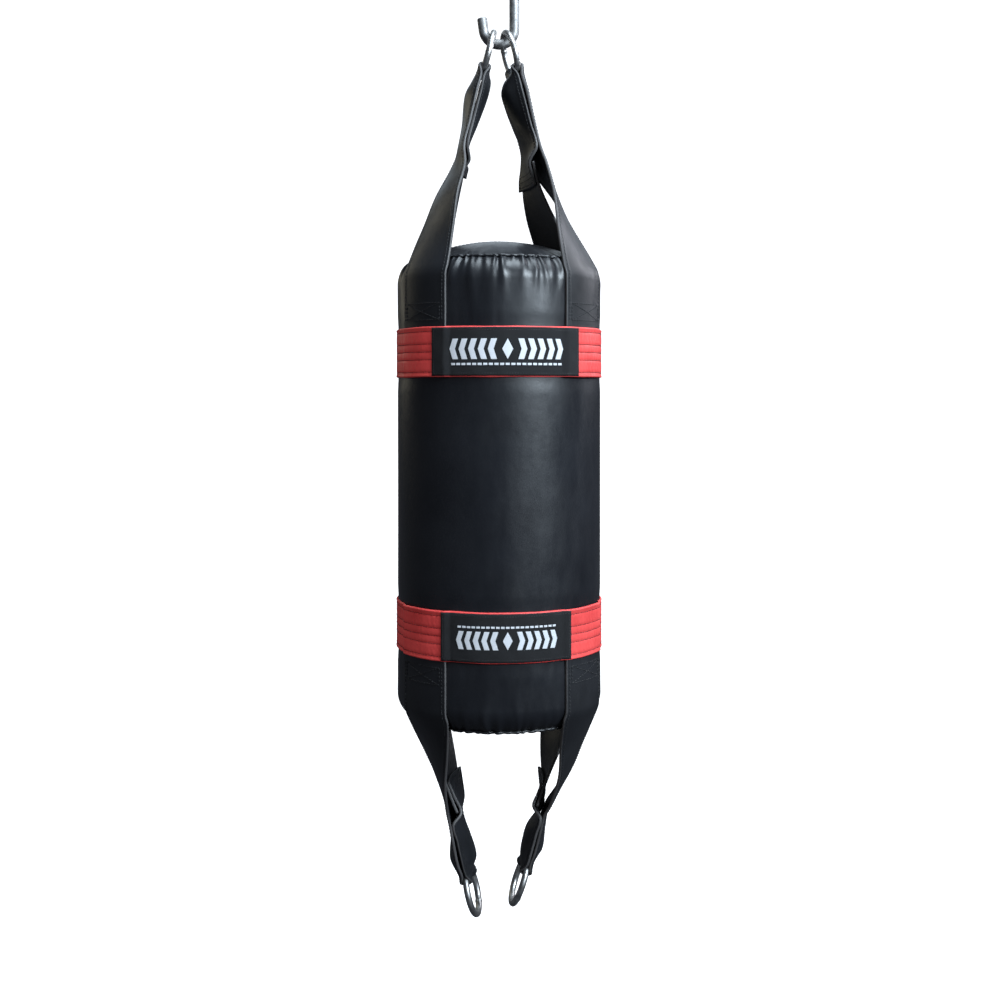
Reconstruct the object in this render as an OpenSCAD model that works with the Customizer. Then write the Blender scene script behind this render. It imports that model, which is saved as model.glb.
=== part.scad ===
// Uppercut bag: a short filled bag hung by four vinyl straps from two rings on a hook,
// with four matching straps and two rings loose below it.
// Millimetres, +Z up, labels facing -Y. The origin is the inside crown of the hook's
// upper bend, where the bag hangs from its support.

/* [Bag] */
// Outside diameter of the filled bag
bag_d = 253; // [248:1:258]
// Height of the side panel from seam to seam
bag_h = 558; // [540:2:580]
// Radius that the side panel turns in with at each end
shoulder_r = 32; // [28:1:36]
// Angle that the side panel turns in through
shoulder_a = 58; // [54:1:62]
// Rise of the domed top panel
dome_top_h = 27; // [22:1:30]
// Rise of the domed bottom panel
dome_bottom_h = 20; // [14:1:24]
// Thickness of the vinyl panels
vinyl_t = 1.6; // [1.2:0.1:2]
// Thickness of the foam layer behind the side panel
foam_t = 25; // [15:1:40]

/* [Bands and labels] */
// Height of each reinforcing band
band_h = 60; // [50:1:70]
// Thickness of a band
band_t = 1.5; // [1:0.1:2]
// Distance of each band's middle from the bag's middle
band_z = 167; // [160:1:175]
// Height of a label
label_h = 57; // [44:1:58]
// Thickness of a label
label_t = 0.9; // [0.6:0.1:1.2]
// Half angle that the upper label covers
label_top_a = 42.6; // [38:0.2:46]
// Half angle that the lower label covers
label_bottom_a = 36.7; // [35:0.1:46]

/* [Straps] */
// Width of a strap
strap_w = 72; // [66:1:76]
// Thickness of a strap
strap_t = 3; // [2.5:0.1:3.2]
// Angle from the front to the middle of a front strap
strap_a = 50; // [48:0.5:52]
// Height of the upper rings' lower wire above the bag's middle
strap_rise = 515; // [505:1:530]

/* [Rings] */
// Inside diameter of a ring
ring_inner_d = 48; // [46:0.5:50]
// Diameter of a ring's wire
ring_wire_d = 8; // [7:0.1:8]
// Lean of the upper rings
ring_lean = 15; // [13:0.5:16]

/* [Hook] */
// Diameter of the hook's rod
hook_rod_d = 12.7; // [10:0.1:13]
// Inside radius of both bends of the hook
hook_bend_r = 13; // [13:0.1:14]
// Distance between the middles of the two bends
hook_rise = 70; // [60:1:90]

/* [Zip] */
// Length of the zip along the top panel
zip_l = 156; // [120:4:160]
// Spacing of the zip's teeth
tooth_pitch = 5; // [4:0.5:6]

/* [Hidden] */
$fn = 96;

clearance = 0.3;
vinyl = [0.07, 0.07, 0.08];
red = [0.72, 0.12, 0.12];
steel = [0.75, 0.76, 0.78];

bag_r = bag_d / 2;
shoulder_mid_r = bag_r - shoulder_r;
side_top = bag_h / 2;
shoulder_z = side_top - shoulder_r * sin(shoulder_a);
seam_r = shoulder_mid_r + shoulder_r * cos(shoulder_a);
cap_r = seam_r - 3;
cap_z = side_top + 1;
function dome_radius(rise) = (cap_r * cap_r + rise * rise) / (2 * rise);
function dome_middle(rise) = cap_z + rise - dome_radius(rise);
dome_r = dome_radius(dome_top_h);
dome_mid = dome_middle(dome_top_h);
foam_end = shoulder_z - 1;

// Bands follow a round outline that steps out over the straps.
band_in = bag_r + clearance;
strap_step = strap_t + clearance;
strap_half_a = asin(strap_w / 2 / bag_r) + 0.8;
strap_gap = 0.45;
strap_mid_r = bag_r + strap_gap + strap_t / 2;
strap_half = strap_mid_r * sin(strap_half_a - 0.8);
strap_cup = strap_mid_r * (1 - cos(strap_half_a - 0.8));

ring_r = (ring_inner_d + ring_wire_d) / 2;
hook_mid_z = -hook_bend_r - hook_rise;
hook_line_r = hook_bend_r + hook_rod_d / 2;
ring_seat_a = 52;
ring_seat_r = hook_bend_r - ring_wire_d / 2 - 0.1;
top_ring_x = ring_seat_r * sin(ring_seat_a) + ring_r * sin(ring_lean);
top_ring_z = hook_mid_z - ring_seat_r * cos(ring_seat_a) - ring_r * cos(ring_lean);
top_wire_x = top_ring_x + ring_r * sin(ring_lean);
bag_z = top_ring_z - ring_r * cos(ring_lean) - strap_rise;

// Strap pairs, each drawn upwards on the right with heights counted from the bag's middle:
// [junction x, junction height, wire x, wire height, lean, yaw,
//  front strap [offset, turn, sag], rear strap [offset, turn, sag],
//  cups of the outer leg, cups of the inner leg, turn of the legs, where the inner leg ends].
pair_top_left = [49.3, strap_rise - 109, top_wire_x, strap_rise, ring_lean, 0,
    [5.5, 78.7, -3], [-3.9, 88.7, 0], [4, 6.1, 12, 8], [3.2, 7.2, 11.3, 10], 87.2, 0.91];
pair_top_right = [43.5, strap_rise - 110, top_wire_x, strap_rise, ring_lean, 6.5,
    [10.4, 96.9, -3.6], [-2.4, 86.9, 7.4], [3.4, 5.3, 6, 7.3], [3.2, 12, 19.7, 13.4], 100.8, 0.8];
pair_bottom_left = [56.8, 399, 40.8, 478, 15, 12,
    [8, 97.5, -3.4], [-3.8, 84.7, 1.4], [3.6, 6.7, 13.1, 10.5], [3.5, 9, 12.9, 7.1], 101, 0.74];
pair_bottom_right = [60.4, 393.5, 35.1, 467.7, 20, 0,
    [9.7, 78.2, -5], [-3.9, 104, 2.6], [3, 5.9, 10.7, 7], [3.9, 12, 10.2, 7], 79, 0.79];
loop_r = ring_wire_d / 2 + 2.5 + strap_t / 2;
loop_half_a = 22;
tail_start = 288;
tail_gap = 4;

// ---- helpers -------------------------------------------------------------------------

function arc(mid_x, mid_y, r, from, to, steps = 16) =
    [for (i = [0:steps]) let (a = from + (to - from) * i / steps)
        [mid_x + r * cos(a), mid_y + r * sin(a)]];
function unit(v) = v / norm(v);
function mix(a, b, f) = a + (b - a) * f;
function smooth(f) = f * f * (3 - 2 * f);
function spot(s) = [s[0], s[1], s[2]];

// ---- straps --------------------------------------------------------------------------
// A station is [x, y, z, turn, half width, cup, edge lift, lean]: a point on the strap's
// middle line, the direction across the strap, how far its edges are drawn inwards,
// and how far they are lifted along a ring that leans.

function on_bag(z) =
    [strap_mid_r * sin(strap_a), -strap_mid_r * cos(strap_a), z, strap_a, strap_half, strap_cup, 0, 0];
function on_shoulder(a) =
    let (out = shoulder_r + strap_gap + strap_t / 2 + shoulder_gap * sin(a),
         r = shoulder_mid_r + out * cos(a))
    [r * sin(strap_a), -r * cos(strap_a), shoulder_z + out * sin(a),
     strap_a, strap_half, strap_cup, 0, 0];
leave_a = 31;
shoulder_gap = 3;

// Leg k of the strap pair between its junction and the ring's wire
lens_at = [0.16, 0.43, 0.77, 0.93];
lens_half = [strap_half, 34.5, 31, 22];
leg_gap = 1.75;
function lens(pair, k, side) =
    let (f = lens_at[k], cup = (side > 0) ? pair[8][k] : pair[9][k])
    [mix(pair[0], pair[2], f) + side * (cup + leg_gap), 0, mix(pair[1], pair[3], f),
     mix(pair[10], 90 + pair[5], f), lens_half[k], side * cup, 0, pair[4]];
// Free length from the shoulder towards the junction
function free(to, f, sag) =
    let (a = on_shoulder(leave_a))
    [for (k = [0:7])
        mix(a[k], to[k], (k < 4) ? f : smooth(f)) - ((k == 0) ? 6.75 * f * f * (1 - f) * sag : 0)];
function front_junction(pair) =
    [pair[0] + pair[6][0], -8, pair[1] - 6, pair[6][1], strap_half, 3, 0, 0];
function rear_junction(pair) =
    [pair[0] + pair[7][0], -8, pair[1], pair[7][1], strap_half, 3, 0, 0];
function front_rise(pair) =
    [for (f = [0.35, 0.7, 1]) free(front_junction(pair), f, pair[6][2])];
function rear_rise(pair) =
    [for (f = [0.35, 0.58, 0.8, 1]) free(rear_junction(pair), f, pair[7][2])];
// Round the ring's wire, from the outer leg over to the inner one
function round_wire(pair) =
    [for (a = [0:30:180])
        let (lean = pair[4], yaw = pair[5], off = loop_r * cos(a), up = loop_r * sin(a),
             r = ring_r - up)
        [pair[2] + off * cos(lean) - up * sin(lean), off * sin(yaw),
         pair[3] + off * sin(lean) + up * cos(lean),
         90 + yaw, r * sin(loop_half_a), 0, r * (1 - cos(loop_half_a)), lean]];
// The inner leg ends on the inner face of the rear strap.
function inner_end(pair) =
    [for (f = [1, (1 + pair[11]) / 2, pair[11]])
        let (s = free(rear_junction(pair), f, pair[7][2]), off = (strap_t + clearance) * 1.35)
        [s[0] - off * sin(s[3]), -s[1] - off * cos(s[3]), s[2], 180 - s[3], s[4], s[5], 0, 0]];
function loop_stations(pair) = concat(
    [for (k = [0:3]) lens(pair, k, 1)], round_wire(pair), [for (k = [3:-1:0]) lens(pair, k, -1)],
    inner_end(pair));

function shell_run() = [on_bag(band_z - band_h / 2 + 4), on_bag(shoulder_z - 25), on_bag(shoulder_z)];
function shoulder_run() = [on_shoulder(leave_a / 2), on_shoulder(leave_a)];
// Part of the free length where a tail ends and its anchor begins
function split_station(to, height, sag) =
    let (a = on_shoulder(leave_a)) free(to, (height - a[2]) / (to[2] - a[2]), sag);

function step_count(a, b) = max(1, round(norm(spot(b) - spot(a)) / 17));
function between(st, i, t) =
    let (p = st[max(0, i - 1)], a = st[i], b = st[i + 1], q = st[min(len(st) - 1, i + 2)],
         la = norm(spot(a) - spot(p)), lb = norm(spot(b) - spot(a)), lc = norm(spot(q) - spot(b)),
         m1 = (b - p) * (lb / (la + lb)), m2 = (q - a) * (lb / (lb + lc)))
    a * (2 * t * t * t - 3 * t * t + 1) + m1 * (t * t * t - 2 * t * t + t)
    + b * (3 * t * t - 2 * t * t * t) + m2 * (t * t * t - t * t);
function all_rows(st) = concat(
    [for (i = [0:len(st) - 2]) let (n = step_count(st[i], st[i + 1]))
        for (k = [0:n - 1]) between(st, i, k / n)],
    [st[len(st) - 1]]);
function row_point(s, v) =
    spot(s) + [cos(s[3]), sin(s[3]), 0] * s[4] * v
    - [sin(s[3]), -cos(s[3]), 0] * s[5] * v * v
    + [-sin(s[7]), 0, cos(s[7])] * s[6] * v * v;

across = 5;
module strap(stations) {
    rows = all_rows(stations);
    n = len(rows);
    grid = [for (s = rows) [for (j = [0:across - 1]) row_point(s, 2 * j / (across - 1) - 1)]];
    normals = [for (i = [0:n - 1]) [for (j = [0:across - 1])
        unit(cross(grid[i][min(j + 1, across - 1)] - grid[i][max(j - 1, 0)],
                   grid[min(i + 1, n - 1)][j] - grid[max(i - 1, 0)][j]))]];
    points = [for (i = [0:n - 1]) for (side = [0.5, -0.5]) for (j = [0:across - 1])
        grid[i][j] + normals[i][j] * side * strap_t];
    function at(i, side, j) = (i * 2 + side) * across + j;
    faces = concat(
        [for (i = [0:n - 2]) for (j = [0:across - 2]) for (half = [0, 1])
            half == 0 ? [at(i, 0, j), at(i + 1, 0, j), at(i + 1, 0, j + 1)]
                      : [at(i, 0, j), at(i + 1, 0, j + 1), at(i, 0, j + 1)]],
        [for (i = [0:n - 2]) for (j = [0:across - 2]) for (half = [0, 1])
            half == 0 ? [at(i, 1, j), at(i + 1, 1, j + 1), at(i + 1, 1, j)]
                      : [at(i, 1, j), at(i, 1, j + 1), at(i + 1, 1, j + 1)]],
        [for (i = [0:n - 2]) for (half = [0, 1])
            half == 0 ? [at(i, 0, 0), at(i, 1, 0), at(i + 1, 1, 0)]
                      : [at(i, 0, 0), at(i + 1, 1, 0), at(i + 1, 0, 0)]],
        [for (i = [0:n - 2]) for (half = [0, 1])
            half == 0 ? [at(i, 0, across - 1), at(i + 1, 1, across - 1), at(i, 1, across - 1)]
                      : [at(i, 0, across - 1), at(i + 1, 0, across - 1), at(i + 1, 1, across - 1)]],
        [for (j = [0:across - 2]) for (half = [0, 1])
            half == 0 ? [at(0, 0, j), at(0, 1, j + 1), at(0, 1, j)]
                      : [at(0, 0, j), at(0, 0, j + 1), at(0, 1, j + 1)]],
        [for (j = [0:across - 2]) for (half = [0, 1])
            half == 0 ? [at(n - 1, 0, j), at(n - 1, 1, j), at(n - 1, 1, j + 1)]
                      : [at(n - 1, 0, j), at(n - 1, 1, j + 1), at(n - 1, 0, j + 1)]]);
    color(vinyl) polyhedron(points, faces);
}

// Puts a right-hand front strap, drawn upwards from the bag's middle, in its own corner.
module place(left, rear, down) {
    translate([0, 0, bag_z])
        mirror([left ? 1 : 0, 0, 0])
            mirror([0, rear ? 1 : 0, 0])
                mirror([0, 0, down ? 1 : 0])
                    children();
}

function top_pair(left) = left ? pair_top_left : pair_top_right;
function bottom_pair(left) = left ? pair_bottom_left : pair_bottom_right;

module strap_top_front(left) {
    pair = top_pair(left);
    place(left, false, false)
        strap(concat(shell_run(), shoulder_run(), front_rise(pair), loop_stations(pair)));
}

module strap_top_rear(left) {
    place(left, true, false)
        strap(concat(shell_run(), shoulder_run(), rear_rise(top_pair(left))));
}

module strap_anchor(left, rear) {
    pair = bottom_pair(left);
    to = rear ? rear_junction(pair) : front_junction(pair);
    sag = rear ? pair[7][2] : pair[6][2];
    place(left, rear, true)
        strap(concat(shell_run(), shoulder_run(), [split_station(to, tail_start - tail_gap, sag)]));
}

module strap_tail_front(left) {
    pair = bottom_pair(left);
    place(left, false, true)
        strap(concat([split_station(front_junction(pair), tail_start, pair[6][2])],
                     front_rise(pair), loop_stations(pair)));
}

module strap_tail_rear(left) {
    pair = bottom_pair(left);
    place(left, true, true)
        strap(concat([split_station(rear_junction(pair), tail_start, pair[7][2])], rear_rise(pair)));
}

// ---- hook and rings --------------------------------------------------------------------

tip_a = 172;
tip_chamfer = 1;
module hook_bend(tip_l) {
    rotate([90, 0, 0])
        rotate_extrude(angle = tip_a) translate([hook_line_r, 0]) circle(d = hook_rod_d);
    translate([hook_line_r * cos(tip_a), 0, hook_line_r * sin(tip_a)])
        rotate([0, 180 - tip_a, 0]) {
            translate([0, 0, -tip_l]) cylinder(h = tip_l, d = hook_rod_d);
            translate([0, 0, -tip_l - tip_chamfer])
                cylinder(h = tip_chamfer, d1 = hook_rod_d - 2 * tip_chamfer, d2 = hook_rod_d);
        }
}

module hanging_hook() {
    color(steel) union() {
        translate([0, 0, -hook_bend_r]) hook_bend(18);
        translate([0, 0, hook_mid_z]) mirror([0, 0, 1]) hook_bend(15);
        translate([hook_line_r, 0, hook_mid_z]) cylinder(h = hook_rise, d = hook_rod_d);
    }
}

module ring(x, z, lean, yaw) {
    color(steel) translate([x, 0, z]) rotate([0, lean, 0]) rotate([0, 0, yaw]) rotate([0, 90, 0])
        rotate_extrude() translate([ring_r, 0]) circle(d = ring_wire_d);
}

module top_ring(side) {
    ring(side * top_ring_x, top_ring_z, -side * ring_lean, side * top_pair(side < 0)[5]);
}

module bottom_ring(side) {
    pair = bottom_pair(side < 0);
    ring(side * (pair[2] - ring_r * sin(pair[4])), bag_z - pair[3] - ring_r * cos(pair[4]),
         side * pair[4], side * pair[5]);
}

// ---- shell, filling and end panels -------------------------------------------------------

module shell_side() {
    in_r = shoulder_r - vinyl_t;
    outline = concat(
        arc(shoulder_mid_r, -shoulder_z, shoulder_r, -shoulder_a, 0),
        arc(shoulder_mid_r, shoulder_z, shoulder_r, 0, shoulder_a),
        arc(shoulder_mid_r, shoulder_z, in_r, shoulder_a, 0),
        arc(shoulder_mid_r, -shoulder_z, in_r, 0, -shoulder_a));
    color(vinyl) translate([0, 0, bag_z]) rotate_extrude() polygon(outline);
}

module shell_back_seam() {
    seam_w = 22;
    seam_t = 1.2;
    seam_l = 2 * (band_z - band_h / 2) - 2;
    half_a = asin(seam_w / 2 / bag_r);
    color(vinyl) translate([0, 0, bag_z - seam_l / 2]) rotate([0, 0, 90 - half_a])
        rotate_extrude(angle = 2 * half_a) translate([bag_r + 0.05, 0]) square([seam_t, seam_l]);
}

module dome_panel(rise) {
    r = dome_radius(rise);
    difference() {
        intersection() {
            translate([0, 0, dome_middle(rise)]) difference() {
                sphere(r = r, $fn = 180);
                sphere(r = r - vinyl_t, $fn = 180);
            }
            translate([0, 0, cap_z - vinyl_t]) cylinder(h = rise + 5, r = cap_r);
        }
        children();
    }
}

module cap_top() {
    slot_w = 8;
    color(vinyl) translate([0, 0, bag_z]) dome_panel(dome_top_h)
        translate([-zip_l / 2 - 1, -slot_w / 2, cap_z - 5]) cube([zip_l + 2, slot_w, dome_top_h + 10]);
}

module cap_bottom() {
    color(vinyl) translate([0, 0, bag_z]) mirror([0, 0, 1]) dome_panel(dome_bottom_h);
}

module seam_binding(side) {
    cord_r = 2.2;
    color(vinyl) translate([0, 0, bag_z + side * (side_top + 2.4)])
        rotate_extrude() translate([seam_r - 0.3, 0]) circle(r = cord_r);
}

module foam_liner() {
    out_r = bag_r - vinyl_t - clearance;
    color("khaki") translate([0, 0, bag_z - foam_end]) difference() {
        cylinder(h = 2 * foam_end, r = out_r);
        translate([0, 0, -1]) cylinder(h = 2 * foam_end + 2, r = out_r - foam_t);
    }
}

module fill_core() {
    color("dimgray") translate([0, 0, bag_z - foam_end])
        cylinder(h = 2 * foam_end, r = bag_r - vinyl_t - foam_t - 2 * clearance);
}

module foam_pad(side) {
    gap = vinyl_t + 0.6;
    drop = 4;
    edge_r = cap_r - 3;
    rise = (side > 0) ? dome_top_h : dome_bottom_h;
    top_r = dome_radius(rise) - vinyl_t - drop;
    outline = concat(
        [[0, foam_end + clearance], [bag_r - gap, foam_end + clearance]],
        arc(shoulder_mid_r, shoulder_z, shoulder_r - gap, 0, shoulder_a - 8, 8),
        arc(0, dome_middle(rise), top_r, acos(edge_r / top_r), 90, 12));
    color("khaki") translate([0, 0, bag_z]) scale([1, 1, side]) rotate_extrude() polygon(outline);
}

// ---- bands and labels ----------------------------------------------------------------------

module wedge(half_a) {
    reach = 2 * bag_r;
    polygon([[0, 0], [-reach * sin(half_a), -reach * cos(half_a)], [0, -reach * 1.5],
             [reach * sin(half_a), -reach * cos(half_a)]]);
}

module band_outline(off) {
    circle(r = band_in + off);
    for (turn = [strap_a, -strap_a, 180 - strap_a, 180 + strap_a])
        rotate([0, 0, turn]) intersection() {
            circle(r = band_in + strap_step + off);
            wedge(strap_half_a + off / 4);
        }
}

module band(side) {
    color(red) translate([0, 0, bag_z + side * band_z - band_h / 2]) linear_extrude(band_h)
        difference() {
            band_outline(band_t);
            band_outline(0);
        }
}

module label(side, half_a) {
    gap = 0.1;
    color([0.06, 0.06, 0.06]) translate([0, 0, bag_z + side * band_z - label_h / 2])
        linear_extrude(label_h)
            intersection() {
                difference() {
                    band_outline(band_t + gap + label_t);
                    band_outline(band_t + gap);
                }
                wedge(half_a);
            }
}

// ---- zip -------------------------------------------------------------------------------------

zip_half_a = asin(zip_l / 2 / dome_r);
slider_l = 13;
slider_a = -zip_half_a + asin(slider_l / dome_r);
pull_pin_r = 0.9;
pull_pin_up = 6.6;

// A strip that follows the top panel's curve, from half angle -half_a to half_a
module on_dome(half_a, low, high, width) {
    translate([0, width / 2, bag_z + dome_mid]) rotate([90, 0, 0]) rotate([0, 0, 90 - half_a])
        rotate_extrude(angle = 2 * half_a, $fn = 180)
            translate([dome_r + low, 0]) square([high - low, width]);
}

module at_dome(a) {
    translate([0, 0, bag_z + dome_mid]) rotate([0, a, 0]) translate([0, 0, dome_r]) children();
}

module zip_tape() {
    color(vinyl) on_dome(zip_half_a + 1, -vinyl_t - 1.4, -vinyl_t - 0.6, 26);
}

module zip_teeth() {
    count = floor((zip_l - 8) / tooth_pitch);
    color("silver") for (i = [0:count - 1])
        at_dome((i - (count - 1) / 2) * tooth_pitch / dome_r * 180 / PI)
            translate([-1.7, -3, -2]) cube([3.4, 6, 3.2]);
}

module zip_stops() {
    color("silver") for (side = [-1, 1])
        at_dome(side * (zip_half_a - 0.2)) translate([-1, -3.4, -2]) cube([2, 6.8, 3.4]);
}

module zip_slider() {
    color("silver") at_dome(slider_a) difference() {
        union() {
            translate([-slider_l / 2, -5.2, 0.4]) cube([slider_l, 10.4, 3.6]);
            translate([-2.6, -4, 3.9]) cube([5.2, 1.6, 4.4]);
            translate([-2.6, 2.4, 3.9]) cube([5.2, 1.6, 4.4]);
            translate([0, 3, pull_pin_up]) rotate([90, 0, 0]) cylinder(h = 6, r = pull_pin_r);
        }
        translate([-slider_l, -3.5, -1]) cube([2 * slider_l, 7, 2.7]);
    }
}

module zip_pull() {
    pull_l = 26;
    pull_w = 8;
    pull_t = 2.2;
    eye_r = 2.1;
    color("silver") at_dome(slider_a) translate([0, 0, pull_pin_up]) mirror([1, 0, 0]) difference() {
        union() {
            translate([0, 2.1, 0]) rotate([90, 0, 0]) cylinder(h = 4.2, r = eye_r);
            translate([1, -2.1, -pull_t / 2]) cube([5, 4.2, pull_t]);
            translate([5, -pull_w / 2, -pull_t / 2]) cube([pull_l - 5 - pull_w / 2, pull_w, pull_t]);
            translate([pull_l - pull_w / 2, 0, -pull_t / 2]) cylinder(h = pull_t, d = pull_w);
        }
        translate([0, 10, 0]) rotate([90, 0, 0]) cylinder(h = 20, r = pull_pin_r + 0.1);
        translate([pull_l - pull_w / 2 - 2, 0, -5]) cylinder(h = 10, d = 3.5);
    }
}

// ---- the part ----------------------------------------------------------------------------------

hanging_hook();
top_ring(-1);  // top_ring_left
top_ring(1);  // top_ring_right
shell_side();
shell_back_seam();
cap_top();
cap_bottom();
seam_binding(1);  // seam_binding_top
seam_binding(-1);  // seam_binding_bottom
foam_liner();
foam_pad(1);  // foam_pad_top
foam_pad(-1);  // foam_pad_bottom
fill_core();
band(1);  // band_top
band(-1);  // band_bottom
label(1, label_top_a);  // label_top
label(-1, label_bottom_a);  // label_bottom
strap_top_front(true);  // strap_top_left_front
strap_top_rear(true);  // strap_top_left_rear
strap_top_front(false);  // strap_top_right_front
strap_top_rear(false);  // strap_top_right_rear
strap_anchor(true, false);  // strap_anchor_left_front
strap_anchor(true, true);  // strap_anchor_left_rear
strap_anchor(false, false);  // strap_anchor_right_front
strap_anchor(false, true);  // strap_anchor_right_rear
strap_tail_front(true);  // strap_tail_left_front
strap_tail_rear(true);  // strap_tail_left_rear
strap_tail_front(false);  // strap_tail_right_front
strap_tail_rear(false);  // strap_tail_right_rear
bottom_ring(-1);  // bottom_ring_left
bottom_ring(1);  // bottom_ring_right
zip_tape();
zip_teeth();
zip_slider();
zip_pull();
zip_stops();
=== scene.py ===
import math

import bpy
import numpy as np
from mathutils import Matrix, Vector


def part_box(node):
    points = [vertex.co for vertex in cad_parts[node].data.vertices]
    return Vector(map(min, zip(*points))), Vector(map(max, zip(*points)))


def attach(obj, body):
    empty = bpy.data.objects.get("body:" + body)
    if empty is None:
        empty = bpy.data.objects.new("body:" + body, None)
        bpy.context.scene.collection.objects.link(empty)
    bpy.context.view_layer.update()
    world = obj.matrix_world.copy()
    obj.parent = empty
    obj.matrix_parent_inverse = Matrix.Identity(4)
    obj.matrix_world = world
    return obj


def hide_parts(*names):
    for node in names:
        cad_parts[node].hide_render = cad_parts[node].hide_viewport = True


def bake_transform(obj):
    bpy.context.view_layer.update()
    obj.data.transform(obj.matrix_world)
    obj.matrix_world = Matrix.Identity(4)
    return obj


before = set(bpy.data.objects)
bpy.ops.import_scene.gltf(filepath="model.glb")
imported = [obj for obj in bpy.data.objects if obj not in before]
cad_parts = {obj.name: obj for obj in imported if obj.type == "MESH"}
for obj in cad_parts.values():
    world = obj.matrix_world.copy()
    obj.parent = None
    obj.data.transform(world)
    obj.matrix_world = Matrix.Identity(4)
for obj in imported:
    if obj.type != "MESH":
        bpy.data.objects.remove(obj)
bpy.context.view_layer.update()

MM = 0.001


# ---- places and sizes that the frame gives ---------------

def box_mm(node):
    low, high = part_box(node)
    return np.array(low) / MM, np.array(high) / MM


shell_low, shell_high = box_mm("shell_side")
BAG_Z = (shell_low[2] + shell_high[2]) / 2
BAG_R = (shell_high[0] - shell_low[0]) / 2
SIDE_TOP = (shell_high[2] - shell_low[2]) / 2
band_low, band_high = box_mm("band_top")
BAND_Z = (band_low[2] + band_high[2]) / 2 - BAG_Z
BAND_H = band_high[2] - band_low[2]
cap_low, cap_high = box_mm("cap_top")
CAP_R = (cap_high[0] - cap_low[0]) / 2
TOP_RISE = cap_high[2] - BAG_Z
BOTTOM_RISE = BAG_Z - box_mm("cap_bottom")[0][2]
label_low, label_high = box_mm("label_top")
LABEL_H = label_high[2] - label_low[2]
TOP_LABEL_HALF_W = 94.5
BOTTOM_LABEL_HALF_W = 81.5
teeth_low, teeth_high = box_mm("zip_teeth")

SHOULDER_R = 32.0
SHOULDER_A = math.radians(58)
SHOULDER_MID_R = BAG_R - SHOULDER_R
SHOULDER_Z = SIDE_TOP - SHOULDER_R * math.sin(SHOULDER_A)
SEAM_R = SHOULDER_MID_R + SHOULDER_R * math.cos(SHOULDER_A)
CAP_Z = SIDE_TOP + 1
VINYL_T = 1.6

STRAP_A = 50.0
STRAP_T = 3.0
STRAP_GAP = 0.45
STRAP_HALF_A = math.asin(36 / BAG_R)
STRAP_MID_R = BAG_R + STRAP_GAP + STRAP_T / 2
STRAP_HALF = STRAP_MID_R * math.sin(STRAP_HALF_A)
STRAP_CUP = STRAP_MID_R * (1 - math.cos(STRAP_HALF_A))

WIRE_R = 4.0
ring_low, ring_high = box_mm("top_ring_right")
RING_R = (ring_high[1] - ring_low[1]) / 2 - WIRE_R


# ---- meshes ----------------------------------------------

def to_frame(points):
    points = np.asarray(points, float).reshape(-1, 3)
    return (points + [0, 0, BAG_Z]) * MM


def link_mesh(name, points, faces, material, smooth=True):
    mesh = bpy.data.meshes.new(name)
    mesh.from_pydata(points, [], faces)
    mesh.validate()
    mesh.materials.append(material)
    mesh.polygons.foreach_set("use_smooth", [smooth] * len(mesh.polygons))
    piece = bpy.data.objects.new(name, mesh)
    bpy.context.collection.objects.link(piece)
    return piece


def make_piece(name, points, faces, material, smooth=True):
    """A mesh object from points in millimetres from the bag's middle."""
    return link_mesh(name, to_frame(points).tolist(), faces, material, smooth)


def grid_faces(rows, columns, closed=False, offset=0, flip=False):
    wrap = columns if closed else columns - 1
    faces = []
    for i in range(rows - 1):
        for j in range(wrap):
            k = (j + 1) % columns
            face = [i * columns + j, i * columns + k, (i + 1) * columns + k, (i + 1) * columns + j]
            faces.append([offset + v for v in (face[::-1] if flip else face)])
    return faces


def loop_solid(rings):
    """Faces of a closed tube through rings of points, capped at both ends."""
    rows, columns = rings.shape[:2]
    faces = grid_faces(rows, columns, closed=True)
    faces.append(list(range(columns))[::-1])
    faces.append([(rows - 1) * columns + j for j in range(columns)])
    return rings.reshape(-1, 3), faces


def wall_faces(rows, columns, flip=False):
    """Faces that join the borders of two grids, the second listed right after the first."""
    border = ([(0, j) for j in range(columns)] + [(i, columns - 1) for i in range(1, rows)]
              + [(rows - 1, j) for j in range(columns - 2, -1, -1)]
              + [(i, 0) for i in range(rows - 2, 0, -1)])
    count = rows * columns
    faces = []
    for (i, j), (k, l) in zip(border, border[1:] + border[:1]):
        a, b = i * columns + j, k * columns + l
        face = [a, b, b + count, a + count]
        faces.append(face[::-1] if flip else face)
    return faces


def smooth_step(x):
    x = np.clip(x, 0, 1)
    return x * x * (3 - 2 * x)


def wave_noise(x, waves, seed):
    """Smooth noise along an angle in radians, from whole numbers of waves."""
    draw = np.random.default_rng(seed)
    total = np.zeros_like(x)
    for n in waves:
        total += draw.uniform(0.4, 1) * np.sin(n * x + draw.uniform(0, 2 * math.pi))
    return total / len(waves)


# ---- materials -------------------------------------------

def new_material(name, colour, rough, metallic=0.0, spec=0.5):
    material = bpy.data.materials.new(name)
    material.use_nodes = True
    shader = material.node_tree.nodes["Principled BSDF"]
    shader.inputs["Base Color"].default_value = (*colour, 1)
    shader.inputs["Roughness"].default_value = rough
    shader.inputs["Metallic"].default_value = metallic
    shader.inputs["Specular IOR Level"].default_value = spec
    return material, material.node_tree, shader


def add_node(tree, kind, **inputs):
    node = tree.nodes.new(kind)
    for key, value in inputs.items():
        node.inputs[key.replace("_", " ")].default_value = value
    return node


def coordinates(tree, stretch=(1, 1, 1)):
    place = tree.nodes.new("ShaderNodeTexCoord")
    mapping = tree.nodes.new("ShaderNodeMapping")
    mapping.inputs["Scale"].default_value = stretch
    tree.links.new(place.outputs["Object"], mapping.inputs["Vector"])
    return mapping.outputs["Vector"]


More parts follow.
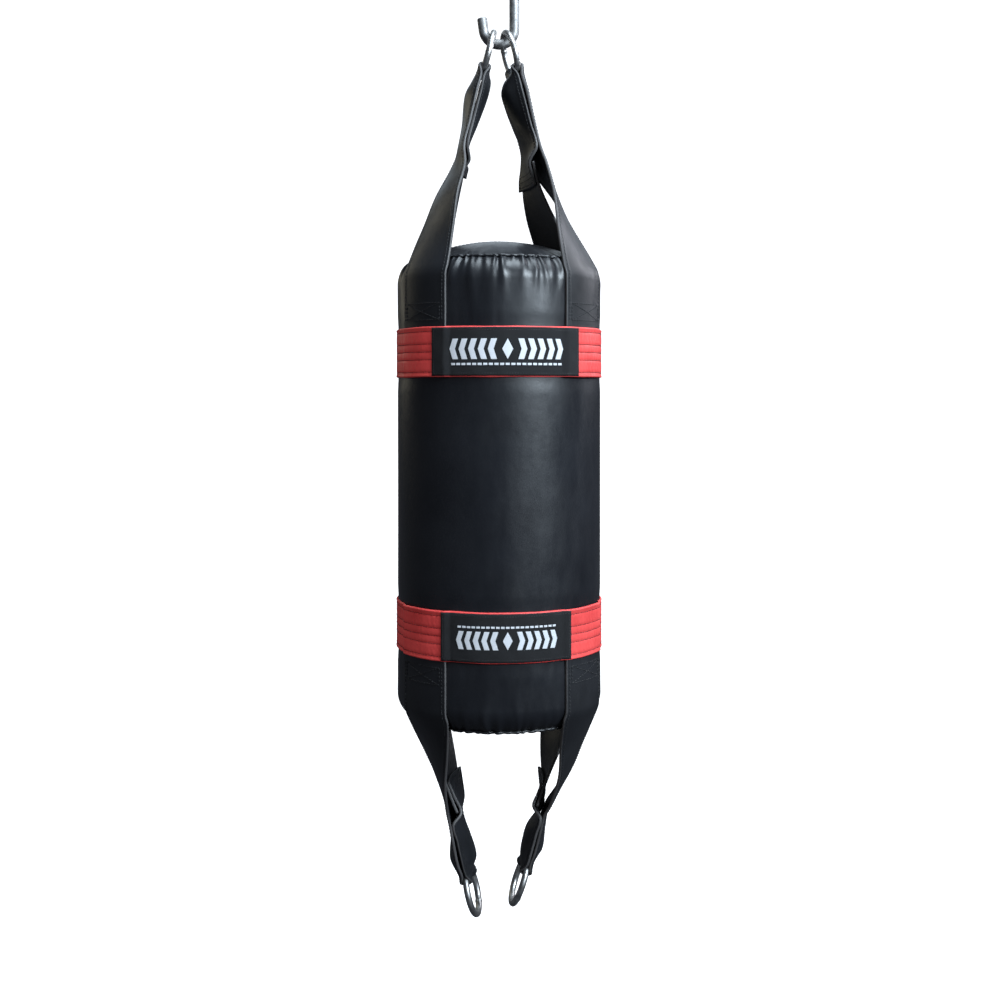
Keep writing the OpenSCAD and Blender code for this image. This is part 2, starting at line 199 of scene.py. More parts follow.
def noise(tree, vector, scale, detail=4, rough=0.55):
    node = add_node(tree, "ShaderNodeTexNoise", Scale=scale, Detail=detail, Roughness=rough)
    tree.links.new(vector, node.inputs["Vector"])
    return node.outputs["Fac"]


def ramp(tree, value, stops):
    node = tree.nodes.new("ShaderNodeValToRGB")
    elements = node.color_ramp.elements
    while len(elements) < len(stops):
        elements.new(0.5)
    for element, (place, colour) in zip(elements, stops):
        element.position = place
        element.color = (*colour, 1) if len(colour) == 3 else colour
    tree.links.new(value, node.inputs["Fac"])
    return node.outputs["Color"]


def spread(tree, value, low, high, from_low=0.3, from_high=0.7):
    node = add_node(tree, "ShaderNodeMapRange", From_Min=from_low, From_Max=from_high,
                    To_Min=low, To_Max=high)
    tree.links.new(value, node.inputs["Value"])
    return node.outputs["Result"]


def bump(tree, shader, heights):
    """Chains bumps of (height, strength, distance in metres) into the shader's normal."""
    normal = None
    for height, strength, distance in heights:
        node = add_node(tree, "ShaderNodeBump", Strength=strength, Distance=distance)
        tree.links.new(height, node.inputs["Height"])
        if normal is not None:
            tree.links.new(normal, node.inputs["Normal"])
        normal = node.outputs["Normal"]
    tree.links.new(normal, shader.inputs["Normal"])


def vinyl_material(name, dark, light, rough, grain=900.0):
    material, tree, shader = new_material(name, dark, rough)
    vector = coordinates(tree)
    cloud = noise(tree, vector, 14, 5)
    tree.links.new(ramp(tree, cloud, [(0.3, dark), (0.72, light)]), shader.inputs["Base Color"])
    cells = add_node(tree, "ShaderNodeTexVoronoi", Scale=grain)
    cells.feature = "DISTANCE_TO_EDGE"
    tree.links.new(vector, cells.inputs["Vector"])
    wear = noise(tree, coordinates(tree, (1, 1, 0.35)), 30, 8, 0.65)
    tree.links.new(spread(tree, wear, rough - 0.06, rough + 0.12), shader.inputs["Roughness"])
    bump(tree, shader, [
        (noise(tree, vector, 45, 4), 0.35, 0.0009),
        (cells.outputs["Distance"], 0.25, 0.0002),
        (noise(tree, vector, 1500, 2), 0.2, 0.00008)])
    return material


def band_material():
    dark, light = (0.56, 0.045, 0.044), (0.76, 0.08, 0.075)
    material, tree, shader = new_material("band_red", light, 0.45, spec=0.3)
    vector = coordinates(tree)
    cloud = noise(tree, vector, 22, 6)
    tree.links.new(ramp(tree, cloud, [(0.28, dark), (0.7, light)]), shader.inputs["Base Color"])
    wear = noise(tree, vector, 60, 8, 0.7)
    tree.links.new(spread(tree, wear, 0.38, 0.56), shader.inputs["Roughness"])
    bump(tree, shader, [
        (noise(tree, vector, 70, 3), 0.3, 0.0006),
        (noise(tree, vector, 1300, 2), 0.25, 0.0001)])
    return material


def woven_material(name, dark, light, pitch, rough=0.85):
    """Cloth of crossed threads, pitch metres apart."""
    material, tree, shader = new_material(name, dark, rough, spec=0.25)
    vector = coordinates(tree)
    waves = []
    for axis in ("X", "Z"):
        wave = add_node(tree, "ShaderNodeTexWave", Scale=1 / (pitch * 20) * math.pi * 2, Distortion=0.6)
        wave.bands_direction = axis
        tree.links.new(vector, wave.inputs["Vector"])
        waves.append(wave.outputs["Fac"])
    join = tree.nodes.new("ShaderNodeMath")
    join.operation = "MULTIPLY"
    tree.links.new(waves[0], join.inputs[0])
    tree.links.new(waves[1], join.inputs[1])
    tree.links.new(ramp(tree, join.outputs[0], [(0.1, dark), (0.9, light)]), shader.inputs["Base Color"])
    bump(tree, shader, [(join.outputs[0], 0.5, 0.0003), (noise(tree, vector, 400, 3), 0.25, 0.0002)])
    return material


def thread_material(name, dark, light):
    material, tree, shader = new_material(name, dark, 0.6)
    vector = coordinates(tree)
    tree.links.new(ramp(tree, noise(tree, vector, 500, 2), [(0.3, dark), (0.7, light)]),
                   shader.inputs["Base Color"])
    bump(tree, shader, [(noise(tree, coordinates(tree, (1, 1, 3)), 2500, 2), 0.6, 0.0001)])
    return material


def metal_material(name, dark, light, rough, scratch=0.3):
    material, tree, shader = new_material(name, light, rough, metallic=1.0)
    vector = coordinates(tree)
    cloud = noise(tree, vector, 120, 6, 0.65)
    tree.links.new(ramp(tree, cloud, [(0.32, dark), (0.6, light)]), shader.inputs["Base Color"])
    tree.links.new(spread(tree, noise(tree, vector, 260, 8, 0.7), rough - 0.08, rough + 0.16),
                   shader.inputs["Roughness"])
    bump(tree, shader, [
        (noise(tree, coordinates(tree, (1, 1, 0.15)), 1600, 3), scratch, 0.00006),
        (noise(tree, vector, 90, 2), 0.12, 0.0002)])
    return material


SHELL = vinyl_material("shell_vinyl", (0.0055, 0.006, 0.008), (0.010, 0.011, 0.014), 0.34)
BINDING = vinyl_material("binding_vinyl", (0.006, 0.0065, 0.008), (0.011, 0.012, 0.015), 0.38)
STRAP = vinyl_material("strap_vinyl", (0.006, 0.0065, 0.008), (0.012, 0.013, 0.016), 0.42, grain=1100)
# Strap vinyl painted lighter grey for the straps' rounded edges: a painted highlight along them
EDGE_HIGHLIGHT = vinyl_material("strap_edge_highlight", (0.035, 0.033, 0.034), (0.085, 0.08, 0.08), 0.5, grain=1500)
BAND = band_material()
LABEL = woven_material("label_woven", (0.008, 0.008, 0.009), (0.024, 0.024, 0.026), 0.0006)
PRINT = woven_material("label_print", (0.52, 0.54, 0.58), (0.80, 0.82, 0.86), 0.0006, 0.7)
BAND_THREAD = thread_material("band_thread", (0.10, 0.006, 0.008), (0.20, 0.012, 0.014))
BLACK_THREAD = thread_material("black_thread", (0.006, 0.006, 0.007), (0.02, 0.02, 0.022))
RING_STEEL = metal_material("ring_steel", (0.30, 0.29, 0.28), (0.54, 0.53, 0.52), 0.38)
HOOK_STEEL = metal_material("hook_steel", (0.19, 0.187, 0.184), (0.35, 0.35, 0.35), 0.52, 0.5)
ZIP_METAL = metal_material("zip_metal", (0.3, 0.3, 0.3), (0.6, 0.6, 0.6), 0.3)
TAPE = woven_material("zip_tape", (0.006, 0.006, 0.007), (0.02, 0.02, 0.022), 0.0009)
FOAM = woven_material("foam", (0.5, 0.47, 0.36), (0.7, 0.66, 0.52), 0.002)


# ---- stitches --------------------------------------------

STITCH_SIDES = 6
# (place along a stitch, part of its full radius)
STITCH_RINGS = ((-0.5, 0.25), (-0.42, 0.75), (-0.15, 1.0), (0.15, 1.0), (0.42, 0.75), (0.5, 0.25))


def stitches(name, runs, material, pitch=4.0, length=3.0, radius=0.45):
    """Raised stitches along each run: (points, outward normals), both dense arrays."""
    points, faces = [], []
    for line, normals in runs:
        line, normals = np.asarray(line), np.asarray(normals)
        steps = np.linalg.norm(np.diff(line, axis=0), axis=1)
        along = np.concatenate([[0], np.cumsum(steps)])
        count = int((along[-1] - length) / pitch)
        for k in range(count + 1):
            middle = length / 2 + k * pitch
            at = np.array([np.interp(middle, along, line[:, i]) for i in range(3)])
            ahead = np.array([np.interp(middle + 0.5, along, line[:, i]) for i in range(3)])
            out = np.array([np.interp(middle, along, normals[:, i]) for i in range(3)])
            out /= np.linalg.norm(out)
            run = ahead - at
            run /= max(np.linalg.norm(run), 1e-9)
            side = np.cross(out, run)
            base = len(points)
            for place, girth in STITCH_RINGS:
                lift = radius * (0.55 - 2.2 * place * place)
                for a in range(STITCH_SIDES):
                    turn = 2 * math.pi * a / STITCH_SIDES
                    points.append(at + run * place * length
                                  + out * (lift + radius * girth * 0.8 * math.sin(turn))
                                  + side * radius * girth * math.cos(turn))
            rings = len(STITCH_RINGS)
            faces += grid_faces(rings, STITCH_SIDES, closed=True, offset=base)
            faces.append([base + a for a in range(STITCH_SIDES)][::-1])
            faces.append([base + (rings - 1) * STITCH_SIDES + a for a in range(STITCH_SIDES)])
    return make_piece(name, points, faces, material)


# ---- shell, end panels and seams -------------------------

PLEATS = 52
BAND_GATHERS = 26


def pleat_field(turn, below, seed, depth):
    """How far gathers push the vinyl in, at an angle and a distance below the seam."""
    draw = np.random.default_rng(seed)
    total = np.zeros(np.broadcast(turn, below).shape)
    for k in range(PLEATS):
        middle = (k + draw.uniform(-0.3, 0.3)) * 2 * math.pi / PLEATS
        wide = math.radians(draw.uniform(0.8, 1.7))
        deep = depth * draw.uniform(0.5, 1.5)
        long = draw.uniform(20, 46)
        off = (turn - middle + math.pi) % (2 * math.pi) - math.pi
        spread_out = wide * (1 + below / 34)
        shoulder = np.exp(-((np.abs(off) - 2.0 * spread_out) / spread_out) ** 2)
        groove = np.exp(-(off / spread_out) ** 2) - 0.6 * shoulder
        total += deep * groove * np.exp(-(below / long) ** 1.4)
    return total


def band_gathers(turn, away, seed):
    """A few short creases that fan out from a band's edge."""
    draw = np.random.default_rng(seed)
    total = np.zeros(np.broadcast(turn, away).shape)
    for k in range(BAND_GATHERS):
        middle = draw.uniform(0, 2 * math.pi)
        wide = math.radians(draw.uniform(0.8, 2.0))
        off = (turn - middle + math.pi) % (2 * math.pi) - math.pi
        total += draw.uniform(0.3, 1.1) * np.exp(-(off / wide) ** 2) * np.exp(
            -(away / draw.uniform(9, 26)) ** 1.5)
    return total


def shell_profile():
    """Rows of (radius, height, outward radial part, outward upward part, distance from the seam)."""
    rows = []
    for k in range(30):
        a = SHOULDER_A * (1 - k / 30)
        rows.append((SHOULDER_MID_R + SHOULDER_R * math.cos(a), SHOULDER_Z + SHOULDER_R * math.sin(a),
                     math.cos(a), math.sin(a), SHOULDER_R * (SHOULDER_A - a)))
    straight = 2 * SHOULDER_Z
    count = 150
    for k in range(count // 2 + 1):
        z = SHOULDER_Z - straight * k / count
        rows.append((BAG_R, z, 1.0, 0.0, SHOULDER_R * SHOULDER_A + SHOULDER_Z - z))
    mirror = [(r, -z, nr, -nz, d) for r, z, nr, nz, d in rows[:-1]]
    return np.array(rows + mirror[::-1])


def shell_offset(turn, profile):
    """Small moves of the shell's surface along its normal, outward positive."""
    z, from_seam = profile[:, 1:2], profile[:, 4:5]
    upper = z > 0
    move = -np.where(upper, pleat_field(turn, from_seam, 21, 2.8), pleat_field(turn, from_seam, 22, 1.6))
    for side, seed in ((1, 31), (-1, 32)):
        outer_edge = side * z - (BAND_Z + BAND_H / 2)
        away = np.where(outer_edge > 0, outer_edge, 400)
        move -= band_gathers(turn, away, seed)
        inner_edge = (BAND_Z - BAND_H / 2) - side * z
        away = np.where((inner_edge > 0) & (side * z > 0), inner_edge * 1.6, 400)
        move -= 0.5 * band_gathers(turn, away, seed + 5)
        near = np.abs(side * z - BAND_Z)
        move -= 1.3 * (1 - smooth_step((near - BAND_H / 2 + 3) / 22))
    swell = (wave_noise(turn, (2, 3, 5), 41) * np.cos(z / 95)
             + wave_noise(turn, (3, 7, 4), 42) * np.sin(z / 60))
    move += 0.55 * swell * smooth_step(from_seam / 40)
    return 0.9 * np.log1p(np.exp((move + 1.0) / 0.9)) - 1.2


def make_shell():
    profile = shell_profile()
    columns = 560
    turn = np.linspace(0, 2 * math.pi, columns, endpoint=False)[None, :]
    move = shell_offset(turn, profile)
    layers = []
    for extra in (move, np.full_like(move, -VINYL_T - 0.8)):
        r = profile[:, 0:1] + profile[:, 2:3] * extra
        z = profile[:, 1:2] + profile[:, 3:4] * extra
        layers.append(np.stack([r * np.cos(turn), r * np.sin(turn), z + 0 * turn], -1))
    rows = len(profile)
    faces = grid_faces(rows, columns, closed=True, flip=True)
    faces += grid_faces(rows, columns, closed=True, offset=rows * columns)
    for row in (0, rows - 1):
        for j in range(columns):
            k = (j + 1) % columns
            a, b = row * columns + j, row * columns + k
            c, d = a + rows * columns, b + rows * columns
            faces.append([a, b, d, c] if row == 0 else [b, a, c, d])
    piece = make_piece("shell_skin", np.concatenate([l.reshape(-1, 3) for l in layers]), faces, SHELL)
    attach(piece, "bag")
    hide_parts("shell_side")


def back_seam():
    """The overlap that closes the side panel, with two rows of stitches, at the rear."""
    half_w, top, thick = 10.5, BAND_Z - BAND_H / 2 - 1, 1.1
    heights = np.linspace(-top, top, 90)
    section = []
    for x, up in ((-1, 0.1), (-0.97, 0.7), (-0.9, 1.0), (-0.5, 0.9), (0, 0.86), (0.5, 0.9), (0.9, 1.0),
                  (0.97, 0.7), (1, 0.1), (0.5, -0.2), (-0.5, -0.2)):
        section.append((x * half_w / BAG_R, BAG_R + 0.25 + thick * up))
    rings = np.array([[(-(r + 0.25 * math.sin(z / 11 + 3 * a)) * math.sin(a),
                        (r + 0.25 * math.sin(z / 11 + 3 * a)) * math.cos(a), z)
                       for a, r in section] for z in heights])
    piece = make_piece("back_seam_flap", *loop_solid(rings), SHELL)
    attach(piece, "bag")
    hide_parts("shell_back_seam")
    runs = []
    for x in (-6.5, 6.5):
        a = x / BAG_R
        out = np.array([-math.sin(a), math.cos(a), 0])
        line = [out * (BAG_R + 0.25 + thick * 0.92) + [0, 0, z] for z in heights]
        runs.append((line, [out] * len(line)))
    thread = stitches("back_seam_stitches", runs, BLACK_THREAD)
    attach(thread, "bag")


def dome_height(x, y, top):
    """Height of an end panel, which is part of a sphere, from the bag's middle."""
    rise = top - CAP_Z
    sphere_r = (CAP_R ** 2 + rise ** 2) / (2 * rise)
    return top - sphere_r + np.sqrt(sphere_r ** 2 - x * x - y * y)


def dome_offset(x, y, zipped, seed):
    """Puckers towards the seam, and the folds that lie beside the zip."""
    r = np.sqrt(x * x + y * y)
    turn = np.arctan2(y, x)
    move = -0.8 * pleat_field(turn, np.maximum(CAP_R - r, 0) * 1.3, seed, 1.1)
    move += 0.5 * wave_noise(turn, (3, 4, 6), seed + 1) * smooth_step(r / 60)
    if zipped:
        end = teeth_high[0] + 4
        along = 1 - smooth_step((np.abs(x) - end) / 3)
        lip = 0.9 * np.exp(-((np.abs(y) - 5.2) / 1.5) ** 2)
        groove = -2.4 * (1 - smooth_step((np.abs(y) - 3.1) / 0.8))
        move += along * (lip + groove)
        move -= 0.35 * np.exp(-((np.abs(y) - 9) / 0.9) ** 2) * along
    return move


def make_dome(name, side, zipped, seed):
    top = TOP_RISE if side > 0 else BOTTOM_RISE
    columns, half_rows = 150, 70
    spin = np.linspace(-math.pi / 2, math.pi / 2, columns)
    near = np.concatenate([np.arange(0, 12, 0.5), 12 + (CAP_R - 12) * np.sin(
        np.linspace(0, math.pi / 2, half_rows))[1:]]) / CAP_R
    steps = np.concatenate([-near[:0:-1], near])
    edge_r = CAP_R + 1.4
    layers = []
    for inner in (False, True):
        x = edge_r * np.sin(spin)[:, None] + 0 * steps[None, :]
        y = np.sqrt(np.maximum(edge_r ** 2 - x * x, 1e-6)) * steps[None, :]
        z = dome_height(x, y, top) + (dome_offset(x, y, zipped, seed) if not inner else -VINYL_T - 1.8)
        layers.append(np.stack([x, y, side * z], -1))
    rows, count = layers[0].shape[:2]
    up = side > 0
    faces = grid_faces(rows, count, flip=up)
    faces += grid_faces(rows, count, offset=rows * count, flip=not up)
    faces += wall_faces(rows, count, flip=not up)
    piece = make_piece(name, np.concatenate([l.reshape(-1, 3) for l in layers]), faces, SHELL)
    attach(piece, "bag")
    return piece


def zip_stitches():
    end = teeth_high[0] + 3
    runs = []
    for y in (-9, 9):
        line = [(x, y, float(dome_height(x, y, TOP_RISE)) - 0.2)
                for x in np.linspace(-end, end, 60)]
        runs.append((line, [(0, 0, 1)] * len(line)))
    for x in (-end, end):
        line = [(x, y, float(dome_height(x, y, TOP_RISE)) - 0.2) for y in np.linspace(-9, 9, 12)]
        runs.append((line, [(0, 0, 1)] * len(line)))
    piece = stitches("zip_stitches", runs, BLACK_THREAD, 3.5, 2.6, 0.35)
    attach(piece, "bag")


def make_binding(name, side, node):
    """The rolled edge over the seam: a soft cord that puckers where the vinyl is gathered."""
    columns, sides = 560, 14
    turn = np.linspace(0, 2 * math.pi, columns, endpoint=False)
    tight = pleat_field(turn, np.zeros(1), 21 if side > 0 else 22, 1.0)
    radius = 1.9 + 0.35 * wave_noise(turn, (31, 47, 60), 51) - 0.25 * tight
    middle = SEAM_R - 0.3 - 0.7 * np.clip(tight, -0.5, 1.5)
    height = (SIDE_TOP + 1.5 - 0.9 * np.clip(tight, 0, 1.3))[:, None]
    around = np.linspace(0, 2 * math.pi, sides, endpoint=False)
    r = middle[:, None] + radius[:, None] * np.cos(around)[None, :]
    z = side * (height + radius[:, None] * 0.95 * np.sin(around)[None, :])
    points = np.stack([r * np.cos(turn)[:, None], r * np.sin(turn)[:, None], z], -1)
    faces = []
    for i in range(columns):
        k = (i + 1) % columns
        for j in range(sides):
            m = (j + 1) % sides
            quad = [i * sides + j, k * sides + j, k * sides + m, i * sides + m]
            faces.append(quad if side > 0 else quad[::-1])
    piece = make_piece(name, points, faces, BINDING)
    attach(piece, "bag")
    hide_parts(node)


# ---- bands and labels ------------------------------------

def over_straps(turn):
    """1 where a strap lies under the band, 0 between straps, rounded at the strap's edges."""
    front = np.degrees(np.arctan2(np.sin(turn + math.pi / 2), np.cos(turn + math.pi / 2)))
    total = 0
    for middle in (STRAP_A, -STRAP_A, 180 - STRAP_A, STRAP_A - 180):
        off = np.abs((front - middle + 180) % 360 - 180)
        total = total + (1 - smooth_step((off - math.degrees(STRAP_HALF_A) + 1.0) / 4.2))
    return np.clip(total, 0, 1)


def band_radius(turn):
    return BAG_R - 0.35 + 3.55 * over_straps(turn) + 0.25 * wave_noise(turn, (9, 14, 23), 61)


# Rows of stitches on a band, as fractions of its height
STITCH_ROWS = (0.10, 0.345, 0.5, 0.655, 0.90)


def band_section():
    """(fraction of the height, thickness): hemmed lips and a quilted middle."""
    section = []
    for k in range(61):
        f = k / 60
        lip = 0.35 * (1 - smooth_step((min(f, 1 - f) - 0.04) / 0.015))
        groove = sum(0.55 * math.exp(-((f - row) / 0.012) ** 2) for row in STITCH_ROWS)
        puff = 0.3 * min(1, min(abs(f - row) for row in STITCH_ROWS) / 0.06)
        edge = math.sqrt(max(0.0, 1 - (1 - min(min(f, 1 - f) / 0.02, 1)) ** 2))
        section.append((f, edge * (1.5 + lip + puff - groove)))
    return section


def make_band(name, side, node):
    columns = 640
    turn = np.linspace(0, 2 * math.pi, columns, endpoint=False)
    base = band_radius(turn)
    section = band_section()
    wavy = 0.5 * wave_noise(turn, (5, 8, 13), 71 + side)
    outer, inner = [], []
    for f, thick in section:
        z = side * BAND_Z + (f - 0.5) * BAND_H + wavy * (abs(f - 0.5) * 2)
        ripple = 0.22 * wave_noise(turn, (90, 113, 140), 81 + int(f * 12))
        outer.append(np.stack([(base + thick + ripple * min(thick, 1)) * np.cos(turn),
                               (base + thick + ripple * min(thick, 1)) * np.sin(turn), z], -1))
        inner.append(np.stack([(base - 0.05) * np.cos(turn), (base - 0.05) * np.sin(turn), z], -1))
    rings = np.array(outer + inner[::-1])
    rows = len(rings)
    faces = grid_faces(rows, columns, closed=True)
    for j in range(columns):
        k = (j + 1) % columns
        faces.append([(rows - 1) * columns + j, (rows - 1) * columns + k, k, j])
    piece = make_piece(name, rings, faces, BAND)
    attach(piece, "bag")
    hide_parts(node)
    runs = []
    for row in STITCH_ROWS:
        z = side * BAND_Z + (row - 0.5) * BAND_H + wavy * (abs(row - 0.5) * 2)
        r = base + 1.55
        line = np.stack([r * np.cos(turn), r * np.sin(turn), z], -1)
        runs.append((line, np.stack([np.cos(turn), np.sin(turn), 0 * turn], -1)))
    thread = stitches(name + "_stitches", runs, BAND_THREAD, 4.2, 3.4, 0.42)
    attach(thread, "bag")


def on_label(side, x, up, lift):
    """Point of a label: x along it from the middle, up from its middle line, lift off the band."""
    r_mid = BAG_R + 4
    turn = -math.pi / 2 + np.asarray(x) / r_mid
    r = band_radius(turn) + 2.35 + lift
    return np.stack([r * np.cos(turn), r * np.sin(turn), side * BAND_Z + np.asarray(up) + 0 * turn], -1)


def make_label(name, side, node, half_w):
    thick, columns = 0.9, 150
    xs = np.linspace(-half_w, half_w, columns)
    ups = np.linspace(-LABEL_H / 2, LABEL_H / 2, 44)
    x, up = np.meshgrid(xs, ups)
    rim = np.minimum(half_w - np.abs(x), LABEL_H / 2 - np.abs(up))
    lift = thick * np.sqrt(1 - (1 - np.clip(rim / 0.8, 0, 1)) ** 2)
    lift = lift - 0.3 * np.exp(-((rim - 3.2) / 0.5) ** 2) + 0.12 * np.sin(x / 5.1 + up / 7) * (rim > 1)
    top = on_label(side, x, up, lift)
    under = on_label(side, x, up, -0.6)
    rows = len(ups)
    faces = grid_faces(rows, columns) + grid_faces(rows, columns, offset=rows * columns, flip=True)
    faces += wall_faces(rows, columns, flip=True)
    piece = make_piece(name, np.concatenate([top.reshape(-1, 3), under.reshape(-1, 3)]), faces, LABEL)
    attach(piece, "bag")
    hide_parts(node)
    inset = 3.2
    runs = []
    for edge in (-1, 1):
        across = np.linspace(-half_w + inset, half_w - inset, 120)
        line = on_label(side, across, edge * (LABEL_H / 2 - inset), 0.55)
        runs.append((line, line * [1, 1, 0]))
        ups_run = np.linspace(-LABEL_H / 2 + inset, LABEL_H / 2 - inset, 30)
        line = on_label(side, np.full(30, edge * (half_w - inset)), ups_run, 0.55)
        runs.append((line, line * [1, 1, 0]))
    thread = stitches(name + "_stitches", runs, BLACK_THREAD, 3.2, 2.5, 0.33)
    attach(thread, "bag")


def plate(side, corners, turn_over):
    """A thin woven shape on a label, from the outline of its corners."""
    flip = -1 if turn_over else 1
    corners = np.array(corners, float) * flip
    steps = 8
    outline = []
    for a, b in zip(corners, np.roll(corners, -1, axis=0)):
        outline += [a + (b - a) * k / steps for k in range(steps)]
    outline = np.array(outline)
    middle = outline.mean(axis=0)
    rings = []
    for shrink, lift in ((1.0, 0.5), (1.0, 1.12), (0.93, 1.22)):
        ring = middle + (outline - middle) * shrink
        rings.append(on_label(side, ring[:, 0], ring[:, 1], lift))
    centre = on_label(side, middle[0:1], middle[1:2], 1.22)
    points = np.concatenate(rings + [centre])
    count = len(outline)
    faces = grid_faces(3, count, closed=True)
    faces += [[2 * count + j, 2 * count + (j + 1) % count, 3 * count] for j in range(count)]
    faces.append(list(range(count))[::-1])
    return points, faces


def label_mark(name, side, scale, turn_over):
    """A plain diamond, chevrons and a dashed rule."""
    shapes = [[(-6.5, 3), (0, -9), (6.5, 3), (0, 15)]]
    for hand in (-1, 1):
        for k in range(5):
            x = hand * (12.5 + 11.8 * k)
            shapes.append([(x, -9), (x + hand * 7, -9), (x + hand * 11, 3), (x + hand * 7, 15),
                           (x, 15), (x + hand * 4, 3)])
    for k in range(-10, 11):
        left, right = k * 6.6 - 2.4, k * 6.6 + 2.4
        shapes.append([(left, -16), (right, -16), (right, -13.4), (left, -13.4)])
    points, faces = [], []
    for shape in shapes:
        corners = np.array(shape, float) * scale
        area = sum(a[0] * b[1] - b[0] * a[1] for a, b in zip(corners, np.roll(corners, -1, axis=0)))
        if area < 0:
            corners = corners[::-1]
        part, part_faces = plate(side, corners, turn_over)
        base = len(points)
        points += list(part)
        faces += [[base + v for v in face] for face in part_faces]
    piece = make_piece(name, points, faces, PRINT, smooth=False)
    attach(piece, "bag")


# ---- straps ----------------------------------------------

class Pair:
    """Two straps and the ring that they hold, drawn upwards on the right side.

    front and rear are each strap's (offset from the junction, turn, sag); the cups are how
    far the legs up to the ring and back are bowed, at the four places of LEG_AT."""

    def __init__(self, ring, lean, yaw, junction, front, rear, outer_cups, inner_cups, turn, end):
        low, high = box_mm(ring)
        middle = (low + high) / 2
        tilt = math.radians(lean)
        self.lean, self.yaw, self.turn, self.end = lean, yaw, turn, end
        self.wire_x = abs(middle[0]) + RING_R * math.sin(tilt)
        self.wire_z = abs(middle[2] - BAG_Z) - RING_R * math.cos(tilt)
        self.junction_x, self.junction_z = junction
        self.front, self.rear = front, rear
        self.outer_cups, self.inner_cups = outer_cups, inner_cups


TOP_LEFT = Pair("top_ring_left", 15, 0, (49.3, 406), (5.5, 78.7, -3), (-3.9, 88.7, 0),
                (4, 6.1, 12, 8), (3.2, 7.2, 11.3, 10), 87.2, 0.91)
TOP_RIGHT = Pair("top_ring_right", 15, 6.5, (43.5, 405), (10.4, 96.9, -3.6), (-2.4, 86.9, 7.4),
                 (3.4, 5.3, 6, 7.3), (3.2, 12, 19.7, 13.4), 100.8, 0.8)
BOTTOM_LEFT = Pair("bottom_ring_left", 15, 12, (56.8, 399), (8, 97.5, -3.4), (-3.8, 84.7, 1.4),
                   (3.6, 6.7, 13.1, 10.5), (3.5, 9, 12.9, 7.1), 101, 0.74)
BOTTOM_RIGHT = Pair("bottom_ring_right", 20, 0, (60.4, 393.5), (9.7, 78.2, -5), (-3.9, 104, 2.6),
                    (3, 5.9, 10.7, 7), (3.9, 12, 10.2, 7), 79, 0.79)
# Places along a leg, from the junction to the wire, and its half width and lifted edges there
LEG_AT = (0.16, 0.43, 0.77, 0.93)
LEG_HALF = (STRAP_HALF, 34.5, 31, 25)
LEG_LIFT = (0, 0, 2, 7)
LEG_GAP = 1.75
LEAVE_A = math.radians(31)
# Makes the greatest value of f * f * (1 - f) into 1
PEAK_SCALE = 6.75
WRAP_R = WIRE_R + 0.95 + STRAP_T / 2
WRAP_HALF_A = math.radians(50)


def on_bag(z):
    a = math.radians(STRAP_A)
    return [STRAP_MID_R * math.sin(a), -STRAP_MID_R * math.cos(a), z, STRAP_A, STRAP_HALF, STRAP_CUP, 0, 0]


def on_shoulder(a):
    out = SHOULDER_R + STRAP_GAP + STRAP_T / 2 + 3 * math.sin(a)
    r = SHOULDER_MID_R + out * math.cos(a)
    face = math.radians(STRAP_A)
    return [r * math.sin(face), -r * math.cos(face), SHOULDER_Z + out * math.sin(a),
            STRAP_A, STRAP_HALF, STRAP_CUP, 0, 0]


def free(to, f, sag):
    """Part way along the free length from the shoulder to the junction, sag mm out at most."""
    start = np.array(on_shoulder(LEAVE_A))
    blend = np.array([f] * 4 + [f * f * (3 - 2 * f)] * 4)
    station = start + (np.array(to) - start) * blend
    station[0] -= PEAK_SCALE * f * f * (1 - f) * sag
    return station.tolist()


def leg(pair, k, side):
    """Place k of the leg up to the ring (side 1) or of the leg back down (side -1)."""
    f, cup = LEG_AT[k], (pair.outer_cups if side > 0 else pair.inner_cups)[k]
    return [pair.junction_x + (pair.wire_x - pair.junction_x) * f + side * (cup + LEG_GAP), 0,
            pair.junction_z + (pair.wire_z - pair.junction_z) * f,
            pair.turn + (90 + pair.yaw - pair.turn) * f, LEG_HALF[k], side * cup, LEG_LIFT[k], pair.lean]


def front_junction(pair):
    return [pair.junction_x + pair.front[0], -8, pair.junction_z - 6, pair.front[1], STRAP_HALF, 3, 0, 0]


def rear_junction(pair):
    return [pair.junction_x + pair.rear[0], -8, pair.junction_z, pair.rear[1], STRAP_HALF, 3, 0, 0]


def round_wire(pair):
    stations = []
    lean, yaw = math.radians(pair.lean), math.radians(pair.yaw)
    for degrees in range(0, 181, 20):
        a = math.radians(degrees)
        off, up = WRAP_R * math.cos(a), WRAP_R * math.sin(a)
        r = RING_R - up
        stations.append([pair.wire_x + off * math.cos(lean) - up * math.sin(lean), off * math.sin(yaw),
                         pair.wire_z + off * math.sin(lean) + up * math.cos(lean), 90 + pair.yaw,
                         r * math.sin(WRAP_HALF_A), 0, r * (1 - math.cos(WRAP_HALF_A)), pair.lean])
    return stations


def inner_end(pair):
    """The leg from the ring ends on the inner face of the rear strap."""
    stations = []
    off = (STRAP_T + 0.3) * 1.35
    for f in (1, (1 + pair.end) / 2, pair.end):
        s = free(rear_junction(pair), f, pair.rear[2])
        a = math.radians(s[3])
        stations.append([s[0] - off * math.sin(a), -s[1] - off * math.cos(a), s[2], 180 - s[3],
                         s[4], s[5], 0, 0])
    return stations


def bag_run():
    return [on_bag(BAND_Z - BAND_H / 2 + 4), on_bag(SHOULDER_Z - 25), on_bag(SHOULDER_Z),
            on_shoulder(LEAVE_A / 2), on_shoulder(LEAVE_A)]


def front_stations(pair):
    free_run = [free(front_junction(pair), f, pair.front[2]) for f in (0.35, 0.7, 1)]
    up, down = ([leg(pair, k, side) for k in range(4)] for side in (1, -1))
    return bag_run() + free_run + up + round_wire(pair) + down[::-1] + inner_end(pair)


